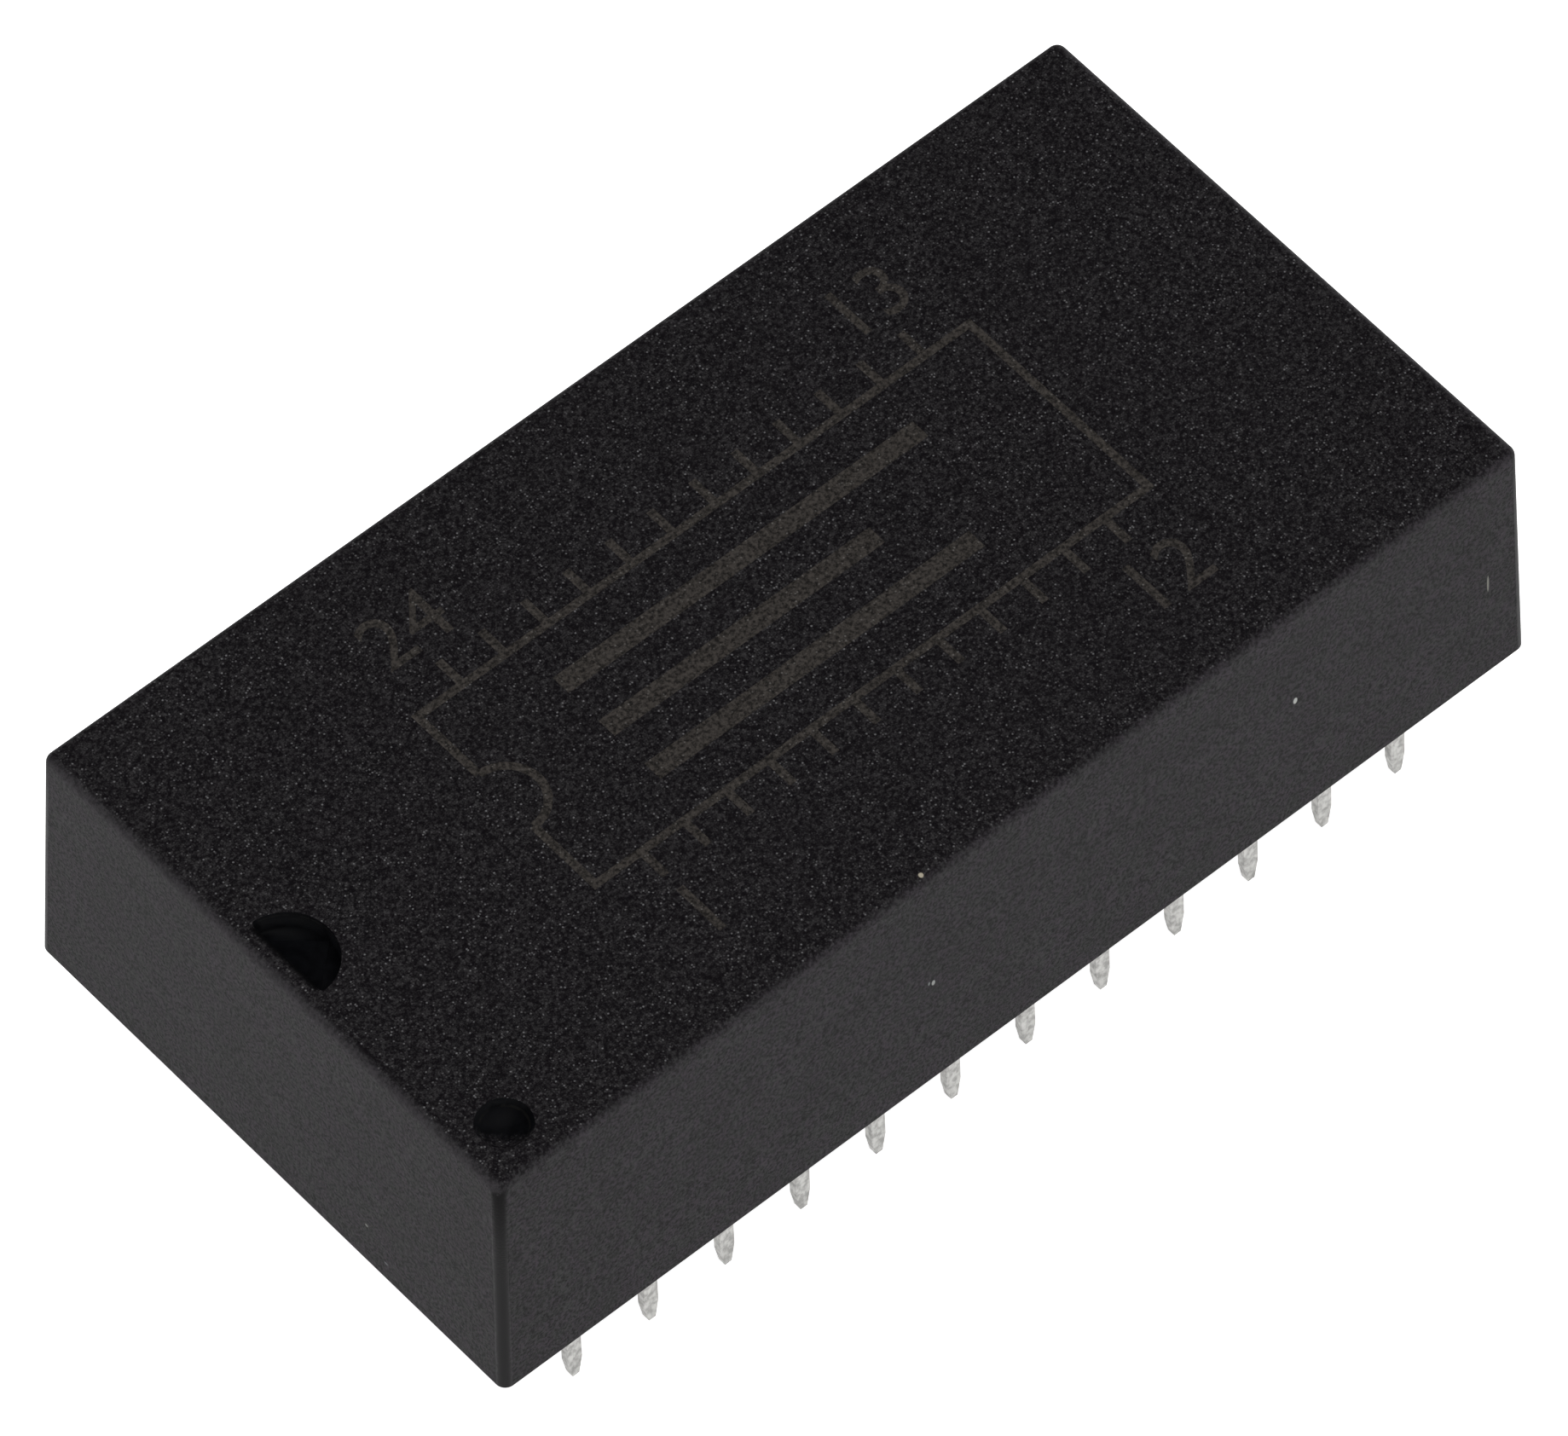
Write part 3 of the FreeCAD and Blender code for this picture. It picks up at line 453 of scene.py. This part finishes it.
def hollow_finish():
    """Smooth black recess and dimple, coloured darker than the cap's black as painted shade. The dimple's
    side by the cap's corner fades into sand.
    """
    finish = Finish("hollow_black_and_shade", HOLLOW_SHADE_BLACK, 0.5, specular=0.03)
    grain = finish.noise(*SAND_GRAIN)
    clouds = finish.noise(HOLLOW_CLOUDS)
    outward = at_dimple_side(finish)
    black = finish.blend(finish.ease(clouds, *FAINT), HOLLOW_SHADE_DARK, HOLLOW_SHEEN)
    level = finish.maths("SUBTRACT", TOP / MM - LINE_DEPTH, finish.axis("Z"))
    line = finish.ease(finish.maths("ABSOLUTE", level), *LINE_WIDTH)
    broken = finish.maths("MULTIPLY", line, finish.ease(finish.noise(LINE_BREAKS), *CRISP))
    tone = finish.blend(broken, black, LINE_GREY)
    finish.set("Base Color", finish.blend(outward, tone, sand_tone(finish, grain)))
    finish.set("Roughness", finish.ease(clouds, *FAINT, *HOLLOW_ROUGHNESS))
    finish.set("Normal", finish.bump(grain, HOLLOW_RELIEF, finish.fade(outward, 0.1, SAND_STRENGTH)))
    return finish.material


def at_dimple_side(finish):
    """Share of the sand on the dimple's side by the cap's corner, with a ragged edge."""
    away = finish.vector("SUBTRACT", finish.place, (*DIMPLE_CENTRE, TOP / MM))
    way = tuple(part / DIMPLE_RADIUS for part in DIMPLE_INWARD)
    ragged = finish.maths("MULTIPLY_ADD", finish.noise(*RAGS), *DIMPLE_RAGS)
    inward = finish.maths("ADD", finish.vector("DOT_PRODUCT", away, way), ragged)
    beside = finish.ease(finish.axis("Y"), *DIMPLE_SIDE)
    return finish.maths("MULTIPLY", finish.ease(inward, *DIMPLE_SAND), beside)


def mark_finish():
    """Sand foamed by the laser: grey-brown and matte, with dark pits and a few glints left in it."""
    finish = Finish("laser_mark", (0.04, 0.036, 0.033), 0.8, specular=0.05)
    grain = finish.noise(*MARK_GRAIN)
    tone = finish.blend(finish.ease(grain, *CLEAR), MARK_PITS, MARK_FOAM)
    distance, chance = finish.cells(SAND_CELLS)
    rare = finish.ease(chance, *MARK_GLINT_CHANCE)
    glint = finish.maths("MULTIPLY", rare, finish.ease(distance, *MARK_GLINT_SIZE))
    finish.set("Base Color", finish.blend(glint, tone, MARK_GLINTS))
    finish.set("Normal", finish.bump(grain, SAND_RELIEF, 0.5))
    return finish.material


def resin_finish():
    """Cast black resin: low gloss, with a slow ripple."""
    finish = Finish("cast_resin", RESIN, 0.28)
    finish.set("Roughness", finish.ease(finish.noise(*RESIN_CLOUDS), *FAINT, *RESIN_ROUGHNESS))
    ripple = finish.bump(finish.noise(*RESIN_WAVES), RESIN_WAVE_RELIEF, 0.35)
    finish.set("Normal", finish.bump(finish.noise(*RESIN_GRAIN), RESIN_GRAIN_RELIEF, 0.3, ripple))
    return finish.material


def moulding_finish():
    """Moulded epoxy of the circuit body: dark grey, fine and matte."""
    finish = Finish("moulded_epoxy", EPOXY, 0.6)
    finish.set("Base Color", finish.blend(finish.noise(*EPOXY_CLOUDS), EPOXY_DARK, EPOXY_PALE))
    finish.set("Normal", finish.bump(finish.noise(*EPOXY_GRAIN), FINE_RELIEF, 0.6))
    return finish.material


def metal_finish(name, dark, light, roughness, grain, stretch):
    """Metal with streaks along its length, and a slightly uneven polish."""
    finish = Finish(name, light, roughness, metallic=1.0)
    streaks = finish.noise(grain, 3.0, 0.6, stretch)
    clouds = finish.noise(*METAL_CLOUDS)
    finish.set("Base Color", finish.blend(finish.maths("MULTIPLY", streaks, clouds), light, dark))
    finish.set("Roughness", finish.ease(clouds, *FAINT, roughness - 0.06, roughness + 0.10))
    finish.set("Normal", finish.bump(streaks, STREAK_RELIEF, STREAK_STRENGTH))
    return finish.material


def tin_finish():
    """Matte tin plating of the leads: pale grey, mottled darker, with faint marks of the forming tools."""
    finish = Finish("matte_tin", TIN, 0.45, metallic=1.0)
    mottle = finish.noise(*TIN_MOTTLE)
    tone = finish.blend(finish.ease(mottle, *TIN_MOTTLE_RANGE), TIN, TIN_MOTTLED)
    drawn = finish.noise(*TIN_STREAKS, ALONG_Z)
    finish.set("Base Color", finish.blend(finish.ease(drawn, *TIN_DRAWN_RANGE), tone, TIN_DRAWN))
    finish.set("Roughness", finish.ease(mottle, *FAINT, *TIN_ROUGHNESS))
    relief = finish.bump(mottle, TIN_MOTTLE_RELIEF, 0.4)
    finish.set("Normal", finish.bump(drawn, STREAK_RELIEF, STREAK_STRENGTH, relief))
    return finish.material


def silicon_finish():
    """Polished silicon: dark blue-grey, nearly a mirror."""
    finish = Finish("silicon", SILICON, 0.12, metallic=0.6)
    finish.set("Base Color", finish.blend(finish.noise(*SILICON_CLOUDS), SILICON_BLUE, SILICON_GREY))
    return finish.material


def paint(names, material):
    """Give CAD nodes a finish."""
    for name in names:
        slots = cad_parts[name].data.materials
        slots.clear()
        slots.append(material)


def turned_area(corners, points):
    """Area of a flat face, below zero where its corners run clockwise."""
    return sum(points[a].cross(points[b]) for a, b in zip(corners, corners[1:] + corners[:1])) / 2


def add_bar(pattern, left, right, low, high):
    """A straight stroke of the pattern, by its edges."""
    middle = Matrix.Translation(((left + right) / 2, (low + high) / 2, 0))
    bmesh.ops.create_grid(pattern, x_segments=1, y_segments=1, size=0.5,
                          matrix=middle @ Matrix.Diagonal((right - left, high - low, 1, 1)))


def add_notch(pattern, across, radius, steps=16):
    """A half round stroke on the middle line, swept from one short edge."""
    ends = [pattern.verts.new((across, -reach, 0)) for reach in (radius - STROKE / 2, radius + STROKE / 2)]
    edge = pattern.edges.new(ends)
    bmesh.ops.spin(pattern, geom=ends + [edge], cent=(across, 0, 0), axis=(0, 0, 1),
                   angle=math.pi, steps=steps)


def add_number(pattern, number, across, up):
    """A plain number, centred on a place."""
    curve = bpy.data.curves.new("number", "FONT")
    curve.body = str(number)
    curve.align_x = "CENTER"
    curve.resolution_u = 4
    holder = bpy.data.objects.new("number", curve)
    bpy.context.scene.collection.objects.link(holder)
    depsgraph = bpy.context.evaluated_depsgraph_get()
    mesh = bpy.data.meshes.new_from_object(holder.evaluated_get(depsgraph))
    heights = [corner.co.y for corner in mesh.vertices]
    size = NUMERAL_HEIGHT / (max(heights) - min(heights))
    centred = Matrix.Translation((0, -(max(heights) + min(heights)) / 2, 0))
    mesh.transform(Matrix.Translation((across, up, 0)) @ Matrix.Diagonal((size, size, 1, 1)) @ centred)
    pattern.from_mesh(mesh)
    bpy.data.objects.remove(holder)
    bpy.data.meshes.remove(mesh)


def mark_pattern():
    """A plain diagram of the package, flat and in millimetres. Strokes overlap where they meet."""
    pattern = bmesh.new()
    end, side, half = SYMBOL_LENGTH / 2, SYMBOL_WIDTH / 2, STROKE / 2
    last = (LEADS_PER_ROW - 1) / 2 * TICK_SPACING
    row = side + TICK_LENGTH + NUMERAL_GAP + NUMERAL_HEIGHT / 2
    add_number(pattern, 1, -last, -row)
    add_number(pattern, LEADS_PER_ROW, last, -row)
    add_number(pattern, LEADS_PER_ROW + 1, last, row)
    add_number(pattern, 2 * LEADS_PER_ROW, -last, row)
    for place in range(LEADS_PER_ROW):
        across = place * TICK_SPACING - last
        add_bar(pattern, across - half, across + half, side, side + TICK_LENGTH)
        add_bar(pattern, across - half, across + half, -side - TICK_LENGTH, -side)
    add_bar(pattern, -end - half, end + half, side - half, side + half)
    add_bar(pattern, -end - half, end + half, -side - half, -side + half)
    add_bar(pattern, end - half, end + half, -side, side)
    add_bar(pattern, -end - half, -end + half, SYMBOL_NOTCH, side)
    add_bar(pattern, -end - half, -end + half, -side, -SYMBOL_NOTCH)
    add_notch(pattern, -end, SYMBOL_NOTCH)
    for left, right, middle in SYMBOL_BARS:
        add_bar(pattern, left, right, middle - SYMBOL_BAR_WIDTH / 2, middle + SYMBOL_BAR_WIDTH / 2)
    return pattern


def flat_faces(pattern, start):
    """Points of a pattern, and its faces as anticlockwise loops numbered from a start, without slivers."""
    pattern.verts.index_update()
    points = [corner.co.xy for corner in pattern.verts]
    faces = []
    for face in pattern.faces:
        corners = [corner.index for corner in face.verts]
        area = turned_area(corners, points)
        if abs(area) > SLIVER:
            faces.append([start + corner for corner in (corners if area > 0 else corners[::-1])])
    return points, faces


def clear_top(shell):
    """Take the flat top face away. Gives its outlines, the rim's first and then the hollows'."""
    flat = [face for face in shell.faces
            if face.normal.z > FACING_UP and face.calc_center_median().z > TOP - LEVEL * MM]
    taken = set(flat)
    edges = [edge for edge in shell.edges if len(taken.intersection(edge.link_faces)) == 1]
    bmesh.ops.delete(shell, geom=flat, context="FACES")
    outlines = []
    while edges:
        edge = edges.pop()
        outline = list(edge.verts)
        while outline[-1] is not outline[0]:
            edge = next(near for near in outline[-1].link_edges if near in edges)
            edges.remove(edge)
            outline.append(edge.other_vert(outline[-1]))
        outlines.append(outline[:-1])
    return sorted(outlines, key=lambda outline: min(corner.co.x + corner.co.y for corner in outline))


def lay_top(shell, pattern):
    """Lay the top face again round the strokes of the pattern, and sink the strokes into it."""
    corners, outlines = [], []
    for outline in clear_top(shell):
        outlines.append([len(corners) + place for place in range(len(outline))])
        corners += outline
    points = [Vector(corner.co[:2]) / MM for corner in corners]
    # Outline 0 is the rim of the top, and the next ones are its hollows
    hollows = range(1, len(outlines))
    faces = [outline if turned_area(outline, points) > 0 else outline[::-1] for outline in outlines]
    stroke_points, stroke_faces = flat_faces(pattern, len(corners))
    flat, _, triangles, sources, _, owners = delaunay_2d_cdt(
        points + stroke_points, [], faces + stroke_faces, 0, SLIVER, True)
    placed = []
    for point, source in zip(flat, sources):
        known = [index for index in source if index < len(corners)]
        placed.append(corners[known[0]] if known else shell.verts.new((*(point * MM), TOP)))
    strokes = []
    for triangle, owner in zip(triangles, owners):
        if 0 in owner and not any(hollow in owner for hollow in hollows):
            face = shell.faces.new([placed[corner] for corner in triangle])
            if max(owner) >= len(outlines):
                strokes.append(face)
    sink(shell, strokes)
    bmesh.ops.recalc_face_normals(shell, faces=shell.faces)


def sink(shell, strokes):
    """Sink faces of the top by the depth of the marks, with a wall round each."""
    worked = bmesh.ops.extrude_face_region(shell, geom=strokes)["geom"]
    floor = [item for item in worked if isinstance(item, bmesh.types.BMVert)]
    bmesh.ops.translate(shell, verts=floor, vec=(0, 0, -MARK_DEPTH * MM))
    bmesh.ops.delete(shell, geom=strokes, context="FACES")
    loose = [corner for corner in shell.verts if not corner.link_faces]
    bmesh.ops.delete(shell, geom=loose, context="VERTS")


def in_hollow(centre):
    """Whether a point of the cap lies in the index recess or in the dimple, seen from above."""
    spot = Vector(centre[:2]) / MM
    beside = spot.x > INDEX_WALL - HOLLOW_MARGIN
    index = beside and (spot - Vector((INDEX_WALL, 0))).length < INDEX_RADIUS + HOLLOW_MARGIN
    dimple = (spot - Vector(DIMPLE_CENTRE)).length < DIMPLE_RADIUS + HOLLOW_MARGIN
    return index or dimple


def finish_slot(centre):
    """Slot for a face of the cap, by its centre."""
    below = TOP - centre.z
    if below <= LEVEL * MM:
        return BLACK
    if in_hollow(centre) and below < HOLLOW_REACH * MM:
        return HOLLOW
    marked = abs(centre.x) < MARKED_LENGTH * MM / 2 and abs(centre.y) < MARKED_WIDTH * MM / 2
    return MARK if marked and below < 2 * MARK_DEPTH * MM else BLACK


def settle_normals(piece):
    """Smooth shading that leaves the large faces flat and keeps the creases sharp."""
    piece.data.shade_smooth()
    piece.data.set_sharp_from_angle(angle=math.radians(CREASE_ANGLE))
    weigh = piece.modifiers.new("normals", "WEIGHTED_NORMAL")
    weigh.keep_sharp = True
    weigh.weight = 100
    worked = bpy.data.meshes.new_from_object(piece.evaluated_get(bpy.context.evaluated_depsgraph_get()))
    piece.modifiers.clear()
    normals = [corner.vector.copy() for corner in worked.corner_normals]
    for face in worked.polygons:
        levels = [worked.vertices[corner].co.z for corner in face.vertices]
        if max(levels) - min(levels) < LEVEL * MM and max(levels) > TOP - 2 * MARK_DEPTH * MM:
            for loop in face.loop_indices:
                normals[loop] = Vector((0, 0, 1))
    worked.normals_split_custom_set(normals)
    piece.data = worked


def make_cap():
    """The cap with sunk laser marks, and a finish for each region."""
    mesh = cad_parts["cap"].data.copy()
    mesh.materials.clear()
    piece = bpy.data.objects.new("cap_shell", mesh)
    bpy.context.scene.collection.objects.link(piece)
    shell = bmesh.new()
    shell.from_mesh(mesh)
    bmesh.ops.remove_doubles(shell, verts=shell.verts, dist=WELD * MM)
    pattern = mark_pattern()
    lay_top(shell, pattern)
    pattern.free()
    for face in shell.faces:
        face.material_index = finish_slot(face.calc_center_median())
    shell.to_mesh(mesh)
    shell.free()
    for material in (cap_finish(), hollow_finish(), mark_finish()):
        mesh.materials.append(material)
    settle_normals(piece)
    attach(piece, "root")
    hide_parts("cap")


def direction(azimuth, elevation):
    """Way from the part to a place round it. Azimuth 0 is along -Y and goes round towards +X."""
    level = math.cos(elevation)
    return Vector((math.sin(azimuth) * level, -math.cos(azimuth) * level, math.sin(elevation)))


def place_camera():
    """Camera at the photograph's viewing angle."""
    azimuth, elevation, roll = map(math.radians, (CAMERA_AZIMUTH, CAMERA_ELEVATION, CAMERA_ROLL))
    back = direction(azimuth, elevation)
    flat = Vector((0, 0, 1)).cross(back).normalized()
    right = flat * math.cos(roll) + back.cross(flat) * math.sin(roll)
    turn = Matrix((right, back.cross(right), back)).transposed().to_4x4()
    data = bpy.data.cameras.new("camera")
    data.sensor_width = SENSOR
    data.lens = LENS
    data.clip_start = CAMERA_NEAR * MM
    data.clip_end = CAMERA_FAR * MM
    camera = bpy.data.objects.new("camera", data)
    bpy.context.scene.collection.objects.link(camera)
    aim = Vector(CAMERA_AIM) * MM
    camera.matrix_world = Matrix.Translation(aim + back * CAMERA_DISTANCE * MM) @ turn
    bpy.context.scene.camera = camera


def add_softbox(name, azimuth, elevation, distance, width, power):
    """Square light on a sphere about the part, turned to face it."""
    way = direction(math.radians(azimuth), math.radians(elevation))
    data = bpy.data.lights.new(name, "AREA")
    data.shape = "SQUARE"
    data.size = width * MM
    data.energy = power
    light = bpy.data.objects.new(name, data)
    turn = way.to_track_quat("Z", "Y").to_matrix().to_4x4()
    light.matrix_world = Matrix.Translation(way * (distance * MM)) @ turn
    bpy.context.scene.collection.objects.link(light)


def make_studio():
    """Evenly pale floor, three soft lights above it and dim light all round."""
    bpy.context.scene.view_settings.view_transform = "Standard"
    world = bpy.data.worlds.new("studio")
    world.use_nodes = True
    background = world.node_tree.nodes["Background"]
    background.inputs["Color"].default_value = (1, 1, 1, 1)
    background.inputs["Strength"].default_value = WORLD_LIGHT
    bpy.context.scene.world = world

    sheet = bmesh.new()
    bmesh.ops.create_grid(sheet, x_segments=1, y_segments=1, size=FLOOR_REACH * MM)
    mesh = bpy.data.meshes.new("floor")
    sheet.to_mesh(mesh)
    sheet.free()
    floor = bpy.data.objects.new("floor", mesh)
    bpy.context.scene.collection.objects.link(floor)
    finish = Finish("floor_white", FLOOR_WHITE, 0.7, specular=0.1)
    finish.set("Emission Color", (1.0, 1.0, 1.0, 1.0))
    finish.set("Emission Strength", FLOOR_GLOW)
    mesh.materials.append(finish.material)

    for name, settings in SOFTBOXES.items():
        add_softbox(name, *settings)


def main():
    make_cap()
    paint(["potting"], resin_finish())
    paint(["ic_body"], moulding_finish())
    paint(LEADS, tin_finish())
    paint(["die"], silicon_finish())
    for name, (pieces, *look) in METALS.items():
        paint(pieces, metal_finish(name, *look))
    place_camera()
    make_studio()


main()
